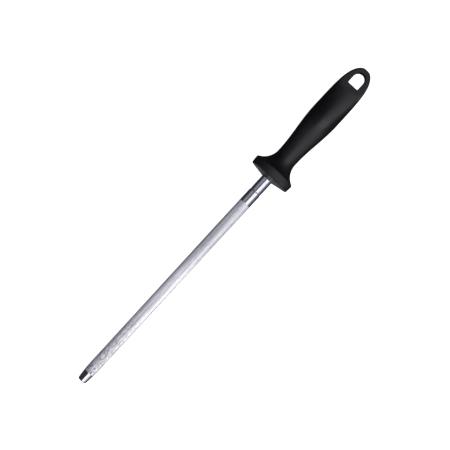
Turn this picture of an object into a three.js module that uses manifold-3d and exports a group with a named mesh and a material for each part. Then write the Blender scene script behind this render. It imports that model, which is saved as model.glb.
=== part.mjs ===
// Knife sharpening steel: a coated, tapering tube closed by a polished tip, carried on a turned
// collar whose tang is pinned in a moulded core, with a moulded grip and round guard over it.
//
// Millimetres. X runs from the tip to the butt of the handle and is the axis of the rod. Z is up,
// square to the flat faces around the hanging hole. The origin is the centre of the tip's flat end.

import * as THREE from 'three';
import { mergeVertices } from 'three/addons/utils/BufferGeometryUtils.js';
import Module from 'manifold-3d';

const wasm = await Module();
wasm.setup();

// Distances from the end of the tip, along X.
const TIP_JOINT = 10.5; // the tip plug meets the tube
const TIP_CHAMFER_END = 16.5; // the tube's end chamfer runs out
const TUBE_BACK = 220; // the tube meets the polished band
const BAND_BACK = 234; // the band meets the collar's groove
const COLLAR_CHAMFER_END = 237; // the groove's chamfer runs out
const GUARD_FACE = 250; // the guard's front face at the collar
const GUARD_FRONT = 252.5; // the guard's front face at its rim
const GUARD_BACK = 261; // the flare behind the guard starts
const COLLAR_BACK = 262; // the collar ends inside the handle
const NECK = 277; // the flare runs out into the neck
const SWELL_START = 279; // the neck begins to swell
const THIN_START = 310; // the handle begins to thin towards the tab
const SWELL_END = 328; // the widest part of the palm
const END_START = 310; // the sides begin to close towards the butt
const SQUARING_START = 358; // the section begins to square up
const TAB_START = 366; // the flat faces of the tab start
const HOLE_FLAT = 365.2; // flat side of the D-shaped hanging hole
const HOLE_APEX = 380; // round end of the hole
const BUTT = 385; // end of the handle

// Radii and half sizes of the metal parts.
const TIP_END_RADIUS = 4.35;
const TIP_EDGE_ROUND = 1;
const TIP_ROOT_RADIUS = 5.25;
const TUBE_FRONT_RADIUS = 5.45;
const TUBE_BACK_RADIUS = 5.95;
const TUBE_BORE_RADIUS = 3.9;
const BAND_RADIUS = 5.95;
const BAND_EDGE_CHAMFER = 0.2;
const COLLAR_RADIUS = 5.7;
const GROOVE_RADIUS = 5;
const GROOVE_WIDTH = 0.5;
const COLLAR_CHAMFER_RADIUS = 5.55; // where the collar's chamfer meets the groove
const TIP_SPIGOT_LENGTH = 18;
const COLLAR_SPIGOT_LENGTH = 31;
const TANG_RADIUS = 4;
const TANG_FRONT = 240;
const TANG_BACK = 332;
const TANG_FLAT_START = 290; // the bar is flattened from here back
const TANG_HALF_THICKNESS = 2.8;
const PIN_RADIUS = 1.5;
const PIN_STATIONS = { tang_pin_front: 301.5, tang_pin_rear: 324.5 };

// The moulded core and the ring grooves that key the grip to it.
const CORE_NECK_RADIUS = 7.1;
const CORE_RADIUS = 8.7;
const CORE_BACK = 338;
const CORE_GROOVE_DEPTH = 1.2;
const CORE_GROOVE_WIDTH = 4;
const CORE_NECK_GROOVE = 271;
const CORE_SWELL_START = 280;
const CORE_SWELL_END = 298;
const CORE_GROOVES = [309, 317];

// The grip.
const GUARD_RADIUS = 21.3;
const GUARD_FRONT_RADIUS = 20.95;
const GUARD_EDGE_ROUND = 1.4;
const NECK_RADIUS = 10.4;
const FLARE_RADIUS = 17.7;
const BULGE_HALF_WIDTH = 14.2;
const BULGE_HALF_DEPTH = 13.3;
const TAB_HALF_THICKNESS = 4.5;
const TAB_CROWN = 1.14; // how much deeper the tab's section is before its faces are cut flat
const TAB_EXPONENT = 6;
const BUTT_EDGE_ROUND = 1.8;
const END_EXPONENT = 6.3; // how late the sides close towards the round butt
const BORE_CHAMFER = 0.3;
const HOLE_HALF_WIDTH = 5.6;
const HOLE_CORNER = 0.8;

const GAP = 0.3; // between neighbouring pieces
const PIN_SEGMENTS = 16;
const BODY_SECTIONS = 7;
const END_SECTIONS = 16;
const AROUND = 36; // segments around the axis; a flat, not a corner, faces down

// Geometry helpers.

// Turns a profile of [x, r] points around the X axis. It starts and ends on the axis, or closes.
function turned(profile) {
  const points = profile.map(([x, r]) => new THREE.Vector2(r, x));
  const halfStep = Math.PI / AROUND;
  const geometry = new THREE.LatheGeometry(points, AROUND, halfStep);
  geometry.rotateZ(-Math.PI / 2);
  return geometry;
}

function solidOf(geometry) {
  const bare = geometry.clone();
  bare.deleteAttribute('normal');
  bare.deleteAttribute('uv');
  const merged = mergeVertices(bare, 1e-4);
  return new wasm.Manifold(new wasm.Mesh({
    numProp: 3,
    vertProperties: new Float32Array(merged.attributes.position.array),
    triVerts: new Uint32Array(merged.index.array),
  }));
}

function geometryOf(solid) {
  const mesh = solid.getMesh();
  const geometry = new THREE.BufferGeometry();
  geometry.setAttribute('position', new THREE.BufferAttribute(mesh.vertProperties, 3));
  geometry.setIndex(new THREE.BufferAttribute(mesh.triVerts, 1));
  geometry.computeVertexNormals();
  return geometry;
}

// A cylinder along Z, standing at a station of the X axis.
function uprightRod(x, radius, height) {
  const geometry = new THREE.CylinderGeometry(radius, radius, height, PIN_SEGMENTS);
  geometry.rotateX(Math.PI / 2);
  geometry.translate(x, 0, 0);
  return geometry;
}

function smoothstep(from, to, x) {
  const t = THREE.MathUtils.clamp((x - from) / (to - from), 0, 1);
  return t * t * (3 - 2 * t);
}

// Points of an arc in the [x, r] plane, from one angle to another, both in degrees.
function arc(cx, cr, radius, fromDegrees, toDegrees, steps) {
  const points = [];
  for (let i = 0; i <= steps; i += 1) {
    const angle = THREE.MathUtils.degToRad(THREE.MathUtils.lerp(fromDegrees, toDegrees, i / steps));
    points.push([cx + radius * Math.cos(angle), cr + radius * Math.sin(angle)]);
  }
  return points;
}

// The metal parts.

function tipPlug() {
  const spigotRadius = TUBE_BORE_RADIUS - GAP;
  const spigotEnd = TIP_JOINT + TIP_SPIGOT_LENGTH;
  return turned([
    [0, 0],
    ...arc(TIP_EDGE_ROUND, TIP_END_RADIUS - TIP_EDGE_ROUND, TIP_EDGE_ROUND, 180, 96, 5),
    [TIP_JOINT, TIP_ROOT_RADIUS],
    [TIP_JOINT, spigotRadius],
    [spigotEnd - 1, spigotRadius],
    [spigotEnd, spigotRadius - 1],
    [spigotEnd, 0],
  ]);
}

function abrasiveTube() {
  const front = TIP_JOINT + GAP;
  const back = TUBE_BACK - GAP;
  return turned([
    [front, TUBE_BORE_RADIUS],
    [front, TIP_ROOT_RADIUS],
    [TIP_CHAMFER_END, TUBE_FRONT_RADIUS],
    [back, TUBE_BACK_RADIUS],
    [back, TUBE_BORE_RADIUS],
    [front, TUBE_BORE_RADIUS],
  ]);
}

function bandRing() {
  const back = BAND_BACK - GAP;
  return turned([
    [TUBE_BACK, TUBE_BORE_RADIUS],
    [TUBE_BACK, BAND_RADIUS - BAND_EDGE_CHAMFER],
    [TUBE_BACK + BAND_EDGE_CHAMFER, BAND_RADIUS],
    [back - BAND_EDGE_CHAMFER, BAND_RADIUS],
    [back, BAND_RADIUS - BAND_EDGE_CHAMFER],
    [back, TUBE_BORE_RADIUS],
    [TUBE_BACK, TUBE_BORE_RADIUS],
  ]);
}

function neckCollar() {
  const spigotRadius = TUBE_BORE_RADIUS - GAP;
  const spigotFront = BAND_BACK - COLLAR_SPIGOT_LENGTH;
  const boreRadius = TANG_RADIUS + GAP;
  return turned([
    [spigotFront, 0],
    [spigotFront, spigotRadius - 1],
    [spigotFront + 1, spigotRadius],
    [BAND_BACK, spigotRadius],
    [BAND_BACK, GROOVE_RADIUS],
    [BAND_BACK + GROOVE_WIDTH, GROOVE_RADIUS],
    [BAND_BACK + GROOVE_WIDTH, COLLAR_CHAMFER_RADIUS],
    [COLLAR_CHAMFER_END, COLLAR_RADIUS],
    [COLLAR_BACK, COLLAR_RADIUS],
    [COLLAR_BACK, boreRadius],
    [TANG_FRONT - GAP, boreRadius],
    [TANG_FRONT - GAP, 0],
  ]);
}

// A round bar, flattened above and below where the pins cross it.
function tang() {
  const bar = solidOf(turned([
    [TANG_FRONT, 0],
    [TANG_FRONT, TANG_RADIUS - 1],
    [TANG_FRONT + 1, TANG_RADIUS],
    [TANG_BACK - 2, TANG_RADIUS],
    [TANG_BACK, TANG_RADIUS - 2],
    [TANG_BACK, 0],
  ]));
  const flatLength = 2 * (TANG_BACK - TANG_FLAT_START);
  const cutDepth = TANG_RADIUS;
  let cut = bar;
  for (const side of [-1, 1]) {
    const block = new THREE.BoxGeometry(flatLength, 4 * TANG_RADIUS, cutDepth);
    const height = TANG_HALF_THICKNESS + cutDepth / 2;
    block.translate(TANG_BACK, 0, side * height);
    cut = cut.subtract(solidOf(block));
  }
  for (const x of Object.values(PIN_STATIONS)) {
    cut = cut.subtract(solidOf(uprightRod(x, PIN_RADIUS + GAP, 4 * TANG_RADIUS)));
  }
  return geometryOf(cut);
}

// The moulded core.

// One ring groove: its outer edge, floor and far edge. A clearance makes the rib that fills it.
function groove(centre, radius, clearance) {
  const half = CORE_GROOVE_WIDTH / 2 - clearance;
  const outer = radius + clearance;
  const inner = outer - CORE_GROOVE_DEPTH;
  return [[centre - half, outer], [centre - half, inner], [centre + half, inner], [centre + half, outer]];
}

// Outline of the core from its front edge to its back end on the axis, grown by a clearance.
function coreOutline(clearance) {
  const endRadius = CORE_RADIUS + clearance;
  return [
    [COLLAR_BACK + GAP - clearance, CORE_NECK_RADIUS + clearance],
    ...groove(CORE_NECK_GROOVE, CORE_NECK_RADIUS, clearance),
    [CORE_SWELL_START, CORE_NECK_RADIUS + clearance],
    [CORE_SWELL_END, CORE_RADIUS + clearance],
    ...CORE_GROOVES.flatMap((centre) => groove(centre, CORE_RADIUS, clearance)),
    ...arc(CORE_BACK + clearance - endRadius, 0, endRadius, 72, 0, 6),
  ];
}

function handleCore() {
  const boreRadius = TANG_RADIUS + GAP;
  const front = COLLAR_BACK + GAP;
  const boreEnd = TANG_BACK + GAP;
  let core = solidOf(turned([
    [boreEnd, 0],
    [boreEnd, boreRadius],
    [front, boreRadius],
    ...coreOutline(0),
  ]));
  for (const x of Object.values(PIN_STATIONS)) {
    core = core.subtract(solidOf(uprightRod(x, PIN_RADIUS + GAP, 4 * CORE_RADIUS)));
  }
  return geometryOf(core);
}

// The grip, as a run of sections from the inside of the cavity, out through the front bore,
// over the guard and back along the handle. Each section is a superellipse: its station, half
// width in Y, half depth in Z, and exponent, where 2 is an ellipse and more is squarer. Above
// and below it is cut flat at its limit.

// The handle swells from the neck to the palm, thins to the flat tab and ends in a round butt.
function bodySection(x) {
  const { lerp } = THREE.MathUtils;
  const swell = smoothstep(SWELL_START, SWELL_END, x);
  const squaring = smoothstep(SQUARING_START, TAB_START, x);
  const palmDepth = lerp(NECK_RADIUS, BULGE_HALF_DEPTH, swell);
  const inEnd = Math.max(0, (x - END_START) / (BUTT - END_START));
  const inEdge = Math.max(0, (x - BUTT) / BUTT_EDGE_ROUND + 1);
  const limit = lerp(palmDepth, TAB_HALF_THICKNESS, smoothstep(THIN_START, TAB_START, x));
  return {
    x,
    halfWidth: lerp(NECK_RADIUS, BULGE_HALF_WIDTH, swell)
      * Math.sqrt(1 - inEnd ** END_EXPONENT),
    halfDepth: limit * lerp(1, TAB_CROWN, squaring) * Math.sqrt(1 - inEdge ** 2),
    exponent: lerp(2, TAB_EXPONENT, squaring),
    limit,
  };
}

function gripSections() {
  const boreRadius = COLLAR_RADIUS + GAP;
  const frontCentre = [GUARD_FRONT + GUARD_EDGE_ROUND, GUARD_FRONT_RADIUS - GUARD_EDGE_ROUND];
  const backCentre = [GUARD_BACK - GUARD_EDGE_ROUND, GUARD_RADIUS - GUARD_EDGE_ROUND];
  const outline = [
    ...coreOutline(GAP).reverse(),
    [COLLAR_BACK, boreRadius],
    [GUARD_FACE + BORE_CHAMFER, boreRadius],
    [GUARD_FACE, boreRadius + BORE_CHAMFER],
    ...arc(...frontCentre, GUARD_EDGE_ROUND, 172, 90, 3),
    ...arc(...backCentre, GUARD_EDGE_ROUND, 90, 28, 3),
    ...arc(NECK, NECK_RADIUS + FLARE_RADIUS, FLARE_RADIUS, 207, 270, 8),
  ];
  const sections = outline.map(([x, r]) => (
    { x, halfWidth: r, halfDepth: r, exponent: 2, limit: r }
  ));
  const bodyStep = (END_START - NECK) / BODY_SECTIONS;
  for (let i = 1; i < BODY_SECTIONS; i += 1) {
    sections.push(bodySection(NECK + i * bodyStep));
  }
  for (let i = 0; i <= END_SECTIONS; i += 1) {
    const along = Math.sin((i / END_SECTIONS) * (Math.PI / 2));
    sections.push(bodySection(THREE.MathUtils.lerp(END_START, BUTT, along)));
  }
  return sections;
}

// A point of a superellipse of half size 1 in one of its two directions.
function squared(value, exponent) {
  return Math.sign(value) * Math.abs(value) ** (2 / exponent);
}

// Skins a run of sections, whose first and last close to a point on the axis.
function skinned(sections) {
  const positions = [];
  for (const { x, halfWidth, halfDepth, exponent, limit } of sections) {
    for (let i = 0; i < AROUND; i += 1) {
      const angle = ((i + 0.5) / AROUND) * 2 * Math.PI;
      const height = halfDepth * squared(Math.sin(angle), exponent);
      const across = halfWidth * squared(Math.cos(angle), exponent);
      positions.push(x, across, THREE.MathUtils.clamp(height, -limit, limit));
    }
  }
  const indices = [];
  for (let ring = 0; ring < sections.length - 1; ring += 1) {
    for (let i = 0; i < AROUND; i += 1) {
      const a = ring * AROUND + i;
      const b = ring * AROUND + ((i + 1) % AROUND);
      indices.push(a, b, b + AROUND, a, b + AROUND, a + AROUND);
    }
  }
  const geometry = new THREE.BufferGeometry();
  geometry.setAttribute('position', new THREE.Float32BufferAttribute(positions, 3));
  geometry.setIndex(indices);
  return geometry;
}

// A D-shaped prism along Z, with its flat side towards the rod.
function holeCutter() {
  const arcCentre = HOLE_APEX - HOLE_HALF_WIDTH;
  const outline = new THREE.Shape();
  outline.moveTo(HOLE_FLAT + HOLE_CORNER, -HOLE_HALF_WIDTH);
  outline.lineTo(arcCentre, -HOLE_HALF_WIDTH);
  outline.absarc(arcCentre, 0, HOLE_HALF_WIDTH, -Math.PI / 2, Math.PI / 2, false);
  outline.lineTo(HOLE_FLAT + HOLE_CORNER, HOLE_HALF_WIDTH);
  const cornerY = HOLE_HALF_WIDTH - HOLE_CORNER;
  outline.absarc(HOLE_FLAT + HOLE_CORNER, cornerY, HOLE_CORNER, Math.PI / 2, Math.PI, false);
  outline.lineTo(HOLE_FLAT, -cornerY);
  outline.absarc(HOLE_FLAT + HOLE_CORNER, -cornerY, HOLE_CORNER, Math.PI, 1.5 * Math.PI, false);
  const height = 4 * TAB_HALF_THICKNESS;
  const options = { depth: height, bevelEnabled: false, curveSegments: 12 };
  const geometry = new THREE.ExtrudeGeometry(outline, options);
  geometry.translate(0, 0, -height / 2);
  return geometry;
}

function gripCover() {
  return geometryOf(solidOf(skinned(gripSections())).subtract(solidOf(holeCutter())));
}

// Materials.

function material(color, metalness, roughness) {
  return new THREE.MeshStandardMaterial({ color, metalness, roughness });
}

const polishedSteel = material(0xcfcfd8, 1, 0.12);
const abrasiveCoat = material(0xb4b4bc, 0.9, 0.5);
const bareSteel = material(0x8c8c90, 1, 0.4);
const corePlastic = material(0x3a3a3c, 0, 0.6);
const gripPlastic = material(0x17181a, 0, 0.45);

// The assembly.

const steel = new THREE.Group();

function add(name, geometry, itsMaterial) {
  const mesh = new THREE.Mesh(geometry, itsMaterial.clone());
  mesh.name = name;
  steel.add(mesh);
  return mesh;
}

add('tip_plug', tipPlug(), polishedSteel);
add('abrasive_tube', abrasiveTube(), abrasiveCoat);
add('band_ring', bandRing(), polishedSteel);
add('neck_collar', neckCollar(), polishedSteel);
add('tang', tang(), bareSteel);
for (const [name, x] of Object.entries(PIN_STATIONS)) {
  add(name, uprightRod(0, PIN_RADIUS, 2 * CORE_RADIUS - 1.5), bareSteel).position.x = x;
}
add('handle_core', handleCore(), corePlastic);
add('grip_cover', gripCover(), gripPlastic);

export default steel;
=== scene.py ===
import math

import bpy
from mathutils import Euler, Matrix, Vector


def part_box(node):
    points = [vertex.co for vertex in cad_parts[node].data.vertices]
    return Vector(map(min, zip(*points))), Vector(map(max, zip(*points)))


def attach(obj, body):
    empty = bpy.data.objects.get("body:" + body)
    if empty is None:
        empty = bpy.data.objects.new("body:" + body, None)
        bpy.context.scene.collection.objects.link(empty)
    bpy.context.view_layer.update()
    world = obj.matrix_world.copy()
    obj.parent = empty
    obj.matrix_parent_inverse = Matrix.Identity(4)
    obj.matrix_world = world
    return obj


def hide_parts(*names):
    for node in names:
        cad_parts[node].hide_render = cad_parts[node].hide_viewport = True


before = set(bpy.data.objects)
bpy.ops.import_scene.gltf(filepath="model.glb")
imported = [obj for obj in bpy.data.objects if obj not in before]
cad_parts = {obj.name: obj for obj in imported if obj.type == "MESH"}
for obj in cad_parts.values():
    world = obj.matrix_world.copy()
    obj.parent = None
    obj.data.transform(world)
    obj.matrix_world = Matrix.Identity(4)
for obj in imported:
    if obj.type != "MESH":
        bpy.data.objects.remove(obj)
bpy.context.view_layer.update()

# The knife sharpening steel lies along X, from the tip at x = 0 to the butt of the handle. Z is
# square to the flat tab around the hanging hole. Everything is in metres.
MM = 0.001

# ---------------------------------------------------------------- places taken from the frame

CAD_SEGMENTS = 36  # the CAD's turned pieces have this many flats
TO_CORNER = 1 / math.cos(math.pi / CAD_SEGMENTS)  # from a flat's distance to the true radius

tip_low, tip_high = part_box("tip_plug")
tube_low, tube_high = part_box("abrasive_tube")
band_low, band_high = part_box("band_ring")
collar_low, collar_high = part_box("neck_collar")
core_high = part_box("handle_core")[1]
grip_low, grip_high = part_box("grip_cover")
steel_centre = (tip_low + grip_high) / 2

TUBE_BACK_RADIUS = tube_high.z * TO_CORNER
BAND_RADIUS = band_high.z * TO_CORNER
COLLAR_RADIUS = collar_high.z * TO_CORNER
GUARD_RADIUS = grip_high.z * TO_CORNER
CORE_RADIUS = core_high.z * TO_CORNER
BUTT = grip_high.x

# ---------------------------------------------------------------- camera

SENSOR = 36
LENS = 65.6
CAMERA_HEIGHT = 750.3 * MM  # the camera looks straight down on the rod's axis
ROD_ANGLE = math.radians(47.37)  # the rod climbs to the upper right in the picture
AIM = Vector((steel_centre.x + 0.9 * MM, -0.15 * MM, 0))

camera_data = bpy.data.cameras.new("camera")
camera_data.sensor_width = SENSOR
camera_data.lens = LENS
camera = bpy.data.objects.new("camera", camera_data)
camera.location = AIM + Vector((0, 0, CAMERA_HEIGHT))
camera.rotation_euler = Euler((0, 0, -ROD_ANGLE))
bpy.context.scene.collection.objects.link(camera)
bpy.context.scene.camera = camera
bpy.context.scene.view_settings.view_transform = "Standard"


# ---------------------------------------------------------------- geometry helpers

AROUND = 144  # segments around the visible pieces


def smoothstep(start, end, x):
    t = min(1.0, max(0.0, (x - start) / (end - start)))
    return t * t * (3 - 2 * t)


def lerp(a, b, t):
    return a + (b - a) * t


def spread(start, end, steps):
    """Evenly spaced values from start to end, both included."""
    return [lerp(start, end, i / steps) for i in range(steps + 1)]


def arc(cx, cr, radius, start, end, steps):
    """Points of an arc in the (x, r) plane, from one angle to another in degrees."""
    angles = [math.radians(a) for a in spread(start, end, steps)]
    return [(cx + radius * math.cos(a), cr + radius * math.sin(a)) for a in angles]


def finished(name, mesh, material, node, sharp=35):
    """Makes a piece of a mesh: smooth shaded, with its material, riding the steel's body."""
    mesh.polygons.foreach_set("use_smooth", [True] * len(mesh.polygons))
    mesh.set_sharp_from_angle(angle=math.radians(sharp))
    mesh.materials.append(material)
    piece = bpy.data.objects.new(name, mesh)
    bpy.context.scene.collection.objects.link(piece)
    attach(piece, "root")
    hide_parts(node)
    return piece


def skin(name, rings, closed):
    """A mesh over rings of equally many points. Open runs close to a point at each end."""
    verts = []
    faces = []
    rows = []
    for ring in rings:
        points = [ring] if isinstance(ring, Vector) else ring
        rows.append(range(len(verts), len(verts) + len(points)))
        verts.extend(points)
    around = max(len(row) for row in rows)
    pairs = list(zip(rows, rows[1:]))
    if closed:
        pairs.append((rows[-1], rows[0]))
    for low, high in pairs:
        for i in range(around):
            j = (i + 1) % around
            if len(low) == 1:
                faces.append((low[0], high[j], high[i]))
            elif len(high) == 1:
                faces.append((low[i], low[j], high[0]))
            else:
                faces.append((low[i], low[j], high[j], high[i]))
    mesh = bpy.data.meshes.new(name)
    mesh.from_pydata(verts, [], faces)
    mesh.validate()
    return mesh


def on_circle(x, radii):
    """A ring of points around the X axis, one for each radius."""
    angles = [2 * math.pi * i / len(radii) for i in range(len(radii))]
    return [Vector((x, r * math.cos(a), r * math.sin(a))) for r, a in zip(radii, angles)]


def circle(x, r):
    """A ring of points around the X axis, or the point on the axis."""
    return on_circle(x, [r] * AROUND) if r > 0 else Vector((x, 0, 0))


def held(profile):
    """Adds a point near both ends of each long straight run, to keep its shading straight."""
    near = 0.12 * MM
    out = [profile[0]]
    for start, end in zip(profile, profile[1:]):
        run = Vector(end) - Vector(start)
        if run.length > 4 * near:
            step = run.normalized() * near
            out.append(tuple(Vector(start) + step))
            out.append(tuple(Vector(end) - step))
        out.append(end)
    return out


def turned(name, profile, closed=False):
    """A turned piece from (x, r) points."""
    return skin(name, [circle(x, r) for x, r in held(profile)], closed)


def rounded(profile, radius, steps=4):
    """Rounds each corner of an (x, r) profile, apart from its ends, by up to a radius."""
    points = [Vector(p) for p in profile]
    out = [points[0]]
    for before, corner, after in zip(points, points[1:], points[2:]):
        to_before = before - corner
        to_after = after - corner
        reach = min(radius, to_before.length * 0.45, to_after.length * 0.45)
        start = corner + to_before.normalized() * reach
        end = corner + to_after.normalized() * reach
        for i in range(steps + 1):
            t = i / steps
            out.append(start.lerp(corner, t).lerp(corner.lerp(end, t), t))
    out.append(points[-1])
    return [tuple(p) for p in out]


# ---------------------------------------------------------------- materials

def new_material(name):
    material = bpy.data.materials.new(name)
    material.use_nodes = True
    tree = material.node_tree
    shader = tree.nodes["Principled BSDF"]
    return material, tree, shader


def node(tree, kind, **values):
    """A shader node with inputs or settings given by name."""
    made = tree.nodes.new(kind)
    for key, value in values.items():
        label = key.replace("_", " ")
        if hasattr(made, key):
            setattr(made, key, value)
        else:
            made.inputs[label].default_value = value
    return made


def place(tree, stretch=(1, 1, 1)):
    """Object coordinates in millimetres, stretched along an axis where the value is small."""
    source = tree.nodes.new("ShaderNodeTexCoord")
    mapping = node(tree, "ShaderNodeMapping")
    mapping.inputs["Scale"].default_value = [s / MM for s in stretch]
    tree.links.new(source.outputs["Object"], mapping.inputs["Vector"])
    return mapping.outputs["Vector"]


def noise(tree, where, scale, detail=2.0, roughness=0.5):
    made = node(tree, "ShaderNodeTexNoise", Scale=scale, Detail=detail, Roughness=roughness)
    tree.links.new(where, made.inputs["Vector"])
    return made.outputs["Fac"]


def ramp(tree, source, *stops):
    """Maps a value through (position, value) stops to a grey, or to a colour."""
    made = tree.nodes.new("ShaderNodeValToRGB")
    elements = made.color_ramp.elements
    while len(elements) < len(stops):
        elements.new(0.5)
    for element, (position, value) in zip(elements, stops):
        element.position = position
        colour = (value,) * 3 if isinstance(value, float) else value
        element.color = (*colour, 1)
    tree.links.new(source, made.inputs["Fac"])
    return made.outputs["Color"]


def mix(tree, kind, factor, a, b):
    """Mixes two colours, each a socket or a plain colour."""
    made = node(tree, "ShaderNodeMix", data_type="RGBA", blend_type=kind)
    for index, value in ((0, factor), (6, a), (7, b)):
        if isinstance(value, bpy.types.NodeSocket):
            tree.links.new(value, made.inputs[index])
        else:
            made.inputs[index].default_value = value
    return made.outputs[2]


def by_station(tree, start, end):
    """A value that goes from 0 to 1 along the X axis, between two stations."""
    source = tree.nodes.new("ShaderNodeTexCoord")
    axes = tree.nodes.new("ShaderNodeSeparateXYZ")
    tree.links.new(source.outputs["Object"], axes.inputs["Vector"])
    made = tree.nodes.new("ShaderNodeMapRange")
    made.interpolation_type = "SMOOTHSTEP"
    made.inputs["From Min"].default_value = start
    made.inputs["From Max"].default_value = end
    tree.links.new(axes.outputs["X"], made.inputs["Value"])
    return made.outputs["Result"]


def bump(tree, shader, *layers):
    """Chains bump layers, each (height, strength, distance in metres), into the normal."""
    normal = None
    for height, strength, distance in layers:
        made = node(tree, "ShaderNodeBump", Strength=strength, Distance=distance)
        tree.links.new(height, made.inputs["Height"])
        if normal is not None:
            tree.links.new(normal, made.inputs["Normal"])
        normal = made.outputs["Normal"]
    tree.links.new(normal, shader.inputs["Normal"])


def polished_steel(name, groove=None):
    """Polished steel with faint turning marks and smudges, and a groove painted dark as shade."""
    material, tree, shader = new_material(name)
    shader.inputs["Metallic"].default_value = 1
    marks = noise(tree, place(tree, (1, 0.05, 0.05)), 9, 3)
    smudges = noise(tree, place(tree), 0.35, 4)
    colour = ramp(tree, smudges, (0.3, (0.76, 0.76, 0.8)), (0.7, (0.84, 0.84, 0.88)))
    if groove:
        start, end = groove
        fade = 0.04 * MM
        behind_start = by_station(tree, start - fade, start + fade)
        before_end = by_station(tree, end + fade, end - fade)
        painted_groove_shade = mix(tree, "MULTIPLY", 1.0, behind_start, before_end)
        # The groove's steel is coloured near black: painted shade in the recess.
        colour = mix(tree, "MIX", painted_groove_shade, colour, GROOVE_PAINTED_SHADE)
    tree.links.new(colour, shader.inputs["Base Color"])
    rough = ramp(tree, smudges, (0.35, 0.05), (0.7, 0.1))
    tree.links.new(rough, shader.inputs["Roughness"])
    bump(tree, shader, (marks, 0.15, 0.004 * MM))
    return material


def abrasive_coat():
    """Satin coat on a finely cut rod: long faint stripes, fine grit, darker flecks by the tip."""
    material, tree, shader = new_material("abrasive_coat")
    shader.inputs["Metallic"].default_value = 0.3
    shader.inputs["Roughness"].default_value = 0.26
    around = place(tree)
    grit = noise(tree, around, 5.5, 2, 0.6)
    stripes = noise(tree, place(tree, (0.012, 1, 1)), 0.8, 3, 0.7)
    patches = noise(tree, place(tree, (0.5, 1, 1)), 0.5, 4, 0.65)
    flecks = noise(tree, place(tree, (0.55, 1, 1)), 1, 2, 0.7)
    base = ramp(tree, stripes, (0.42, (0.64, 0.64, 0.65)), (0.54, (0.99, 0.99, 0.99)))
    blotch = ramp(tree, patches, (0.35, 0.88), (0.6, 1.0))
    fleck = ramp(tree, flecks, (0.42, 0.2), (0.5, 1.0))
    colour = mix(tree, "MULTIPLY", 1.0, base, blotch)
    colour = mix(tree, "MULTIPLY", by_station(tree, 110 * MM, 15 * MM), colour, fleck)
    tree.links.new(colour, shader.inputs["Base Color"])
    bump(tree, shader, (stripes, 0.25, 0.08 * MM), (grit, 0.2, 0.03 * MM))
    return material


def grip_plastic():
    """Black moulded plastic with a fine grain, a little shiny where the palm has rubbed it."""
    material, tree, shader = new_material("grip_plastic")
    grain = noise(tree, place(tree), 2.6, 2, 0.6)
    wear = noise(tree, place(tree, (0.5, 1, 1)), 0.12, 4, 0.6)
    colour = ramp(tree, wear, (0.3, (0.0022, 0.0022, 0.0025)), (0.75, (0.0034, 0.0034, 0.0038)))
    tree.links.new(colour, shader.inputs["Base Color"])
    matt = ramp(tree, wear, (0.3, 0.52), (0.7, 0.58))
    worn = ramp(tree, wear, (0.3, 0.37), (0.7, 0.43))
    rough = mix(tree, "MIX", by_station(tree, 262 * MM, 282 * MM), matt, worn)
    rough = mix(tree, "MIX", by_station(tree, 340 * MM, 362 * MM), rough, matt)
    tree.links.new(rough, shader.inputs["Roughness"])
    bump(tree, shader, (grain, 0.3, 0.06 * MM))
    return material


def plain(name, colour, roughness, metallic, scale):
    """A hidden inner piece: one colour with fine machining or moulding marks."""
    material, tree, shader = new_material(name)
    shader.inputs["Metallic"].default_value = metallic
    marks = noise(tree, place(tree), scale, 3)
    darker = [0.8 * c for c in colour]
    tree.links.new(ramp(tree, marks, (0.3, darker), (0.7, colour)), shader.inputs["Base Color"])
    shader.inputs["Roughness"].default_value = roughness
    bump(tree, shader, (marks, 0.3, 0.03 * MM))
    return material


# Near black painted shade for the collar's groove.
GROOVE_PAINTED_SHADE = (0.02, 0.02, 0.022, 1)
CHROME = polished_steel("polished_steel")
COAT = abrasive_coat()
GRIP = grip_plastic()
BARE_STEEL = plain("bare_steel", (0.5, 0.5, 0.51), 0.4, 1, 1.5)
CORE_PLASTIC = plain("core_plastic", (0.06, 0.06, 0.065), 0.55, 0, 0.8)

for name, material in (
    ("tang", BARE_STEEL),
    ("tang_pin_front", BARE_STEEL),
    ("tang_pin_rear", BARE_STEEL),
    ("handle_core", CORE_PLASTIC),
):
    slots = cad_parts[name].data.materials
    slots.clear()
    slots.append(material)


# ---------------------------------------------------------------- metal pieces

JOINT = 0.03 * MM  # the hairline between neighbouring metal pieces
CAD_GAP = 0.3 * MM
SPIGOT_RADIUS = 3.6 * MM
TUBE_BORE_RADIUS = 3.9 * MM
TIP_END_RADIUS = 4.35 * MM
TIP_ROOT_RADIUS = 5.25 * MM
TIP_EDGE_ROUND = 1 * MM
TUBE_FRONT_RADIUS = 5.45 * MM
TUBE_CHAMFER_LENGTH = 6 * MM
GROOVE_RADIUS = 5 * MM
GROOVE_WIDTH = 0.5 * MM
COLLAR_CHAMFER_RADIUS = 5.55 * MM
COLLAR_CHAMFER_LENGTH = 3 * MM
TANG_BORE_RADIUS = 4.3 * MM
SPIGOT_CHAMFER = 1 * MM
SPIGOT_EDGE_ROUND = 0.2 * MM
COLLAR_EDGE_ROUND = 0.06 * MM
BAND_FRONT_ROUND = 0.08 * MM
BAND_BACK_ROUND = 0.1 * MM
JOINT_BEVEL = 0.06 * MM  # at the crisp ends of the coat and of the tip
FLUTES = 90  # fine V grooves around the working length
FLUTE_STEPS = 5  # points from one groove to the next
FLUTE_DEPTH = 0.04 * MM
FLUTE_FADE = (0.2 * MM, 1.2 * MM)  # the grooves fade in between these distances from an end
TANG_BORE_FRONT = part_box("tang")[0].x - CAD_GAP

tip_joint = tube_low.x - CAD_GAP
band_front = band_low.x
groove_front = band_high.x + CAD_GAP

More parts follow.
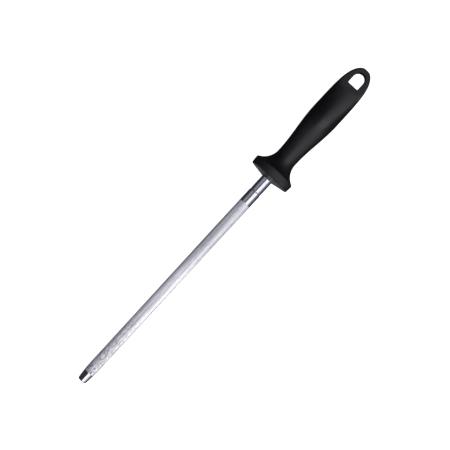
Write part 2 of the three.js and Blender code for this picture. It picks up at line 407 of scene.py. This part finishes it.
tip_spigot = rounded([
    (tip_joint, SPIGOT_RADIUS),
    (tip_high.x - SPIGOT_CHAMFER, SPIGOT_RADIUS),
    (tip_high.x, SPIGOT_RADIUS - SPIGOT_CHAMFER),
    (tip_high.x, 1 * MM),
], SPIGOT_EDGE_ROUND)
tip_profile = [
    (0, 0),
    (0, 1.8 * MM),
    *arc(TIP_EDGE_ROUND, TIP_END_RADIUS - TIP_EDGE_ROUND, TIP_EDGE_ROUND, 180, 95, 12),
    *[
        (x, lerp(TIP_END_RADIUS, TIP_ROOT_RADIUS, x / tip_joint))
        for x in spread(2 * MM, tip_joint - 0.1 * MM, 6)
    ],
    (tip_joint - JOINT / 2, TIP_ROOT_RADIUS - JOINT_BEVEL),
    (tip_joint - JOINT / 2, SPIGOT_RADIUS + 0.1 * MM),
    *tip_spigot,
    (tip_high.x, 0),
]
tip = turned("tip_plug_visual", tip_profile)
finished("tip_plug_visual", tip, CHROME, "tip_plug")

tube_front = tip_joint + JOINT / 2
tube_back = band_front - JOINT / 2
tube_chamfer_end = tip_joint + TUBE_CHAMFER_LENGTH
tube_run_end = tube_back - JOINT_BEVEL
tube_profile = [
    (tube_front, TUBE_BORE_RADIUS),
    (tube_front, TIP_ROOT_RADIUS - 0.05 * MM),
    (tube_front + JOINT_BEVEL, TIP_ROOT_RADIUS),
    *[
        (x, lerp(TIP_ROOT_RADIUS, TUBE_FRONT_RADIUS, smoothstep(tube_front, tube_chamfer_end, x)))
        for x in spread(tube_front + 0.5 * MM, tube_chamfer_end, 12)
    ],
    *[
        (lerp(tube_chamfer_end, tube_run_end, t), lerp(TUBE_FRONT_RADIUS, TUBE_BACK_RADIUS, t))
        for t in spread(0.005, 1, 60)
    ],
    (tube_back, TUBE_BACK_RADIUS - JOINT_BEVEL),
    (tube_back, TUBE_BORE_RADIUS),
]


def fluted(x, r):
    """A ring around the rod with fine V grooves between flat lands, faded out at both ends."""
    from_end = min(x - tube_front, tube_back - x)
    depth = FLUTE_DEPTH * smoothstep(*FLUTE_FADE, from_end)
    if r <= TUBE_BORE_RADIUS:
        depth = 0
    return on_circle(x, [r if i % FLUTE_STEPS else r - depth for i in range(FLUTES * FLUTE_STEPS)])


tube = skin("abrasive_tube_visual", [fluted(x, r) for x, r in tube_profile], closed=True)
finished("abrasive_tube_visual", tube, COAT, "abrasive_tube")

band_back = groove_front - JOINT / 2
band_front_centre = (band_front + JOINT / 2 + BAND_FRONT_ROUND, BAND_RADIUS - BAND_FRONT_ROUND)
band_back_centre = (band_back - BAND_BACK_ROUND, BAND_RADIUS - BAND_BACK_ROUND)
band_profile = [
    (band_front + JOINT / 2, TUBE_BORE_RADIUS),
    *arc(*band_front_centre, BAND_FRONT_ROUND, 180, 90, 4),
    *arc(*band_back_centre, BAND_BACK_ROUND, 90, 0, 6),
    (band_back, TUBE_BORE_RADIUS),
]
band = turned("band_ring_visual", band_profile, closed=True)
finished("band_ring_visual", band, CHROME, "band_ring")

chamfer_end = groove_front + COLLAR_CHAMFER_LENGTH
collar_outline = rounded([
    (collar_low.x, 0.5 * MM),
    (collar_low.x, SPIGOT_RADIUS - SPIGOT_CHAMFER),
    (collar_low.x + SPIGOT_CHAMFER, SPIGOT_RADIUS),
    (groove_front, SPIGOT_RADIUS),
    (groove_front, COLLAR_CHAMFER_RADIUS),
    (groove_front + GROOVE_WIDTH / 2, GROOVE_RADIUS),
    (groove_front + GROOVE_WIDTH, COLLAR_CHAMFER_RADIUS),
    (chamfer_end, COLLAR_RADIUS),
    (collar_high.x, COLLAR_RADIUS),
    (collar_high.x, TANG_BORE_RADIUS),
    (TANG_BORE_FRONT, TANG_BORE_RADIUS),
    (TANG_BORE_FRONT, 0.5 * MM),
], COLLAR_EDGE_ROUND)
collar_profile = [(collar_low.x, 0), *collar_outline, (TANG_BORE_FRONT, 0)]
collar = turned("neck_collar_visual", collar_profile)
collar_steel = polished_steel("collar_steel", (groove_front, groove_front + GROOVE_WIDTH))
finished("neck_collar_visual", collar, collar_steel, "neck_collar")


# ---------------------------------------------------------------- the grip

GUARD_FACE = grip_low.x
GUARD_FRONT = GUARD_FACE + 2.5 * MM
GUARD_BACK = GUARD_FACE + 11 * MM
GUARD_FRONT_RADIUS = GUARD_RADIUS - 0.35 * MM
GUARD_EDGE_ROUND = 1.4 * MM
NECK = GUARD_FACE + 27 * MM
NECK_RADIUS = 10.4 * MM
FLARE_RADIUS = 17.7 * MM
SWELL_START = NECK + 2 * MM
SWELL_END = NECK + 51 * MM
THIN_START = NECK + 33 * MM
END_START = BUTT - 75 * MM
SQUARING_START = BUTT - 27 * MM
TAB_START = BUTT - 19 * MM
PALM_HALF_WIDTH = 14.2 * MM
PALM_HALF_DEPTH = 13.3 * MM
TAB_HALF_THICKNESS = 4.5 * MM
TAB_CROWN = 1.14  # how much deeper the section is before its faces are cut flat
TAB_EXPONENT = 6
END_EXPONENT = 6.3  # how late the sides close towards the round butt
BUTT_EDGE_ROUND = 1.8 * MM
FACE_EDGE_SOFTNESS = 0.5 * MM
BORE_RADIUS = COLLAR_RADIUS + 0.08 * MM
CAVITY_CLEARANCE = 0.3 * MM


def body_section(x):
    """Half width, half depth, exponent and flat limit of the handle's section behind the neck."""
    swell = smoothstep(SWELL_START, SWELL_END, x)
    squaring = smoothstep(SQUARING_START, TAB_START, x)
    palm_depth = lerp(NECK_RADIUS, PALM_HALF_DEPTH, swell)
    limit = lerp(palm_depth, TAB_HALF_THICKNESS, smoothstep(THIN_START, TAB_START, x))
    in_end = max(0.0, (x - END_START) / (BUTT - END_START))
    in_edge = max(0.0, (x - BUTT) / BUTT_EDGE_ROUND + 1)
    width = lerp(NECK_RADIUS, PALM_HALF_WIDTH, swell)
    width *= math.sqrt(max(0.0, 1 - in_end**END_EXPONENT))
    depth = limit * lerp(1, TAB_CROWN, squaring) * math.sqrt(max(0.0, 1 - in_edge**2))
    return width, depth, lerp(2, TAB_EXPONENT, squaring), limit


def soft_limit(value, limit, softness):
    """The smaller of a value and a limit, with a rounded turn between them."""
    h = max(softness - abs(value - limit), 0.0) / softness
    return min(value, limit) - h * h * softness / 4


def squared(value, exponent):
    """A coordinate of a superellipse of half size 1, from the circle's."""
    return math.copysign(abs(value) ** (2 / exponent), value)


def body_ring(x):
    width, depth, exponent, limit = body_section(x)
    if width <= 1e-7:
        return Vector((x, 0, 0))
    softness = lerp(0.01 * MM, FACE_EDGE_SOFTNESS, smoothstep(SQUARING_START, TAB_START, x))
    ring = []
    for i in range(AROUND):
        angle = 2 * math.pi * i / AROUND
        height = soft_limit(abs(depth * squared(math.sin(angle), exponent)), limit, softness)
        height = math.copysign(height, math.sin(angle))
        ring.append(Vector((x, width * squared(math.cos(angle), exponent), height)))
    return ring


def grip_mesh():
    cavity = [
        (core_high.x + CAVITY_CLEARANCE, 0),
        *arc(core_high.x - CORE_RADIUS, 0, CORE_RADIUS + CAVITY_CLEARANCE, 5, 70, 14),
        (NECK + 21 * MM, CORE_RADIUS + CAVITY_CLEARANCE),
        (NECK + 3 * MM, 7.4 * MM),
        (collar_high.x, 7.4 * MM),
        (collar_high.x, BORE_RADIUS),
    ]
    rim_front = (GUARD_FRONT + GUARD_EDGE_ROUND, GUARD_FRONT_RADIUS - GUARD_EDGE_ROUND)
    rim_back = (GUARD_BACK - GUARD_EDGE_ROUND, GUARD_RADIUS - GUARD_EDGE_ROUND)
    face = [
        (lerp(GUARD_FACE, GUARD_FRONT, t), lerp(BORE_RADIUS, rim_front[1], t))
        for t in spread(0.05, 0.95, 12)
    ]
    outline = [
        *cavity,
        (GUARD_FACE + 0.3 * MM, BORE_RADIUS),
        (GUARD_FACE + 0.08 * MM, BORE_RADIUS + 0.08 * MM),
        (GUARD_FACE, BORE_RADIUS + 0.3 * MM),
        *face,
        *arc(*rim_front, GUARD_EDGE_ROUND, 172, 90, 10),
        *arc(*rim_back, GUARD_EDGE_ROUND, 90, 27, 10),
        *arc(NECK, NECK_RADIUS + FLARE_RADIUS, FLARE_RADIUS, 208, 270, 40),
    ]
    rings = [circle(x, r) for x, r in outline]
    body_steps = 90
    rings += [body_ring(x) for x in spread(NECK, END_START, body_steps)[1:-1]]
    end_steps = 90
    for i in range(end_steps + 1):
        along = math.sin(i / end_steps * math.pi / 2)
        rings.append(body_ring(lerp(END_START, BUTT, along)))
    return skin("grip_visual", rings, closed=False)


HOLE_FLAT = BUTT - 19.8 * MM
HOLE_APEX = BUTT - 5 * MM
HOLE_HALF_WIDTH = 5.6 * MM
HOLE_CORNER = 0.8 * MM
HOLE_EDGE_ROUND = 0.6 * MM
FLARE_REACH = 0.9 * MM  # how far the cutter goes on past the rounded edge
FLARE_SLOPE = math.tan(math.radians(10))
CUTTER_OVERSHOOT = 3 * MM


def hole_outline(grow, z):
    """The D-shaped outline of the hanging hole, grown outwards, at a height."""
    centre = HOLE_APEX - HOLE_HALF_WIDTH
    corner_x = HOLE_FLAT + HOLE_CORNER
    corner_y = HOLE_HALF_WIDTH - HOLE_CORNER
    points = arc(centre, 0, HOLE_HALF_WIDTH + grow, -90, 90, 64)
    for x in spread(centre, corner_x, 12)[1:-1]:
        points.append((x, HOLE_HALF_WIDTH + grow))
    points += arc(corner_x, corner_y, HOLE_CORNER + grow, 90, 180, 10)
    for y in spread(corner_y, -corner_y, 14)[1:-1]:
        points.append((HOLE_FLAT - grow, y))
    points += arc(corner_x, -corner_y, HOLE_CORNER + grow, 180, 270, 10)
    for x in spread(corner_x, centre, 12)[1:-1]:
        points.append((x, -HOLE_HALF_WIDTH - grow))
    return [(x, y, z) for x, y in points]


def hole_cutter():
    """A D-shaped plug that flares at both faces of the tab, to leave rounded edges."""
    levels = []
    for degrees in (0, 15, 30, 45, 60, 72, 82):
        a = math.radians(degrees)
        grow = HOLE_EDGE_ROUND * (1 - math.cos(a))
        levels.append((grow, TAB_HALF_THICKNESS - HOLE_EDGE_ROUND * (1 - math.sin(a))))
    last_grow, last_z = levels[-1]
    levels.append((last_grow + FLARE_REACH, last_z + FLARE_REACH * FLARE_SLOPE))
    levels.append((last_grow + FLARE_REACH, TAB_HALF_THICKNESS + CUTTER_OVERSHOOT))
    levels = [(grow, -z) for grow, z in reversed(levels)] + levels
    verts = []
    faces = []
    for grow, z in levels:
        verts += hole_outline(grow, z)
    count = len(verts) // len(levels)
    for level in range(len(levels) - 1):
        for i in range(count):
            a = level * count + i
            b = level * count + (i + 1) % count
            faces.append((a, b, b + count, a + count))
    faces.append(tuple(reversed(range(count))))
    faces.append(tuple(range(len(verts) - count, len(verts))))
    mesh = bpy.data.meshes.new("hole_cutter")
    mesh.from_pydata(verts, [], faces)
    return mesh


def cut(mesh, cutter_mesh):
    """Subtracts one mesh from another and returns the result."""
    holder = bpy.data.objects.new("grip_blank", mesh)
    cutter = bpy.data.objects.new("hole_cutter", cutter_mesh)
    for o in (holder, cutter):
        bpy.context.scene.collection.objects.link(o)
    modifier = holder.modifiers.new("hole", "BOOLEAN")
    modifier.object = cutter
    modifier.operation = "DIFFERENCE"
    modifier.solver = "EXACT"
    bpy.context.view_layer.update()
    evaluated = holder.evaluated_get(bpy.context.evaluated_depsgraph_get())
    result = bpy.data.meshes.new_from_object(evaluated)
    for o in (holder, cutter):
        bpy.data.objects.remove(o)
    return result


grip = cut(grip_mesh(), hole_cutter())
grip.name = "grip_visual"
finished("grip_visual", grip, GRIP, "grip_cover", sharp=50)


# ---------------------------------------------------------------- stage and light

def panel(name, angles, reach, radiance, tint):
    """A soft panel along X at a metre from the rod, between two angles from straight up."""
    low, high = (math.radians(a) for a in angles)
    middle = (low + high) / 2
    towards = Vector((0, math.sin(middle), math.cos(middle)))
    data = bpy.data.lights.new(name, "AREA")
    data.shape = "RECTANGLE"
    data.size = reach[1] - reach[0]
    data.size_y = 2 * math.tan((high - low) / 2)
    data.energy = radiance * math.pi * data.size * data.size_y
    data.color = tint
    light = bpy.data.objects.new(name, data)
    light.location = Vector(((reach[0] + reach[1]) / 2, 0, 0)) + towards
    across = Vector((1, 0, 0))
    light.rotation_euler = Matrix((across, towards.cross(across), towards)).transposed().to_euler()
    bpy.context.scene.collection.objects.link(light)


NEUTRAL = (1, 1, 1)
COOL = (0.97, 0.97, 1.09)
BLUE = (0.93, 0.93, 1.16)

# Each panel has its angles in degrees, its reach along X in metres and its radiance.
for name, angles, reach, radiance, tint in (
    ("tip_softbox", (-60, -3), (-0.9, -0.28), 1.3, COOL),
    ("tip_side", (-95, -60), (-0.9, -0.28), 0.45, NEUTRAL),
    ("rod_side", (-95, -60), (-0.28, 0.1), 4.2, NEUTRAL),
    ("rod_front", (-60, -3), (-0.28, 0.1), 0.4, NEUTRAL),
    ("rod_top", (-3, 14), (-0.28, 0.1), 3.7, COOL),
    ("rod_back", (14, 100), (-0.28, 0.1), 0.45, BLUE),
    ("collar_softbox", (-60, -3), (0.1, 0.42), 1.15, COOL),
    ("collar_side", (-95, -60), (0.1, 0.42), 0.2, COOL),
    ("collar_back", (14, 62), (0.1, 0.42), 0.24, COOL),
    ("palm_softbox", (-60, -3), (0.51, 0.85), 2.5, COOL),
    ("end_softbox", (-60, -3), (0.8, 1.5), 0.9, COOL),
):
    panel(name, angles, reach, radiance, tint)

# A small reflector card in front of the guard and below it lights its front face.
CARD_RADIANCE = 0.6
CARD_PLACE = Vector((GUARD_FACE - 18 * MM, 0, -26 * MM))
card = bpy.data.lights.new("guard_card", "AREA")
card.shape = "RECTANGLE"
card.size = 60 * MM
card.size_y = 50 * MM
card.energy = CARD_RADIANCE * math.pi * card.size * card.size_y
card.color = COOL
card_light = bpy.data.objects.new("guard_card", card)
card_light.location = CARD_PLACE
card_light.rotation_euler = Euler((math.pi, 0, 0))
bpy.context.scene.collection.objects.link(card_light)


def backdrop(name, mesh, glow):
    """A plain pale surface that only the camera sees."""
    material, tree, shader = new_material(name)
    shader.inputs["Base Color"].default_value = (0.8, 0.8, 0.8, 1)
    shader.inputs["Roughness"].default_value = 0.9
    shader.inputs["Specular IOR Level"].default_value = 0.1
    shader.inputs["Emission Color"].default_value = (1, 1, 1, 1)
    shader.inputs["Emission Strength"].default_value = glow
    mesh.materials.append(material)
    surface = bpy.data.objects.new(name, mesh)
    bpy.context.scene.collection.objects.link(surface)
    surface.visible_glossy = False
    surface.visible_diffuse = False
    surface.visible_shadow = False
    return surface


# The floor lies just under the guard's rim and the tip's root. A dome closes the view above it.
FLOOR_HALF = 1.5
DOME_RADIUS = 8
FLOOR_GLOW = 1
DOME_GLOW = 0.9
FLOOR_CLEARANCE = 0.05 * MM
guard_foot = Vector((GUARD_BACK - GUARD_EDGE_ROUND, 0, -GUARD_RADIUS))
tip_foot = Vector((tip_joint, 0, -TIP_ROOT_RADIUS))
floor_mesh = bpy.data.meshes.new("floor")
corners = ((-1, -1), (1, -1), (1, 1), (-1, 1))
floor_mesh.from_pydata([(a * FLOOR_HALF, b * FLOOR_HALF, 0) for a, b in corners], [], [(0, 1, 2, 3)])
floor = backdrop("floor", floor_mesh, FLOOR_GLOW)
slope = math.atan2(tip_foot.z - guard_foot.z, guard_foot.x - tip_foot.x)
floor.rotation_euler = Euler((0, slope, 0))
floor.location = guard_foot - Vector((0, 0, FLOOR_CLEARANCE))
dome_rings = [circle(x, r) for x, r in arc(0, 0, DOME_RADIUS, 180, 0, 24)]
backdrop("dome", skin("dome", dome_rings, closed=False), DOME_GLOW)

# A faint cool light from all around fills the shadows.
world = bpy.data.worlds.new("studio")
world.use_nodes = True
world.node_tree.nodes["Background"].inputs["Color"].default_value = (0.036, 0.036, 0.04, 1)
bpy.context.scene.world = world
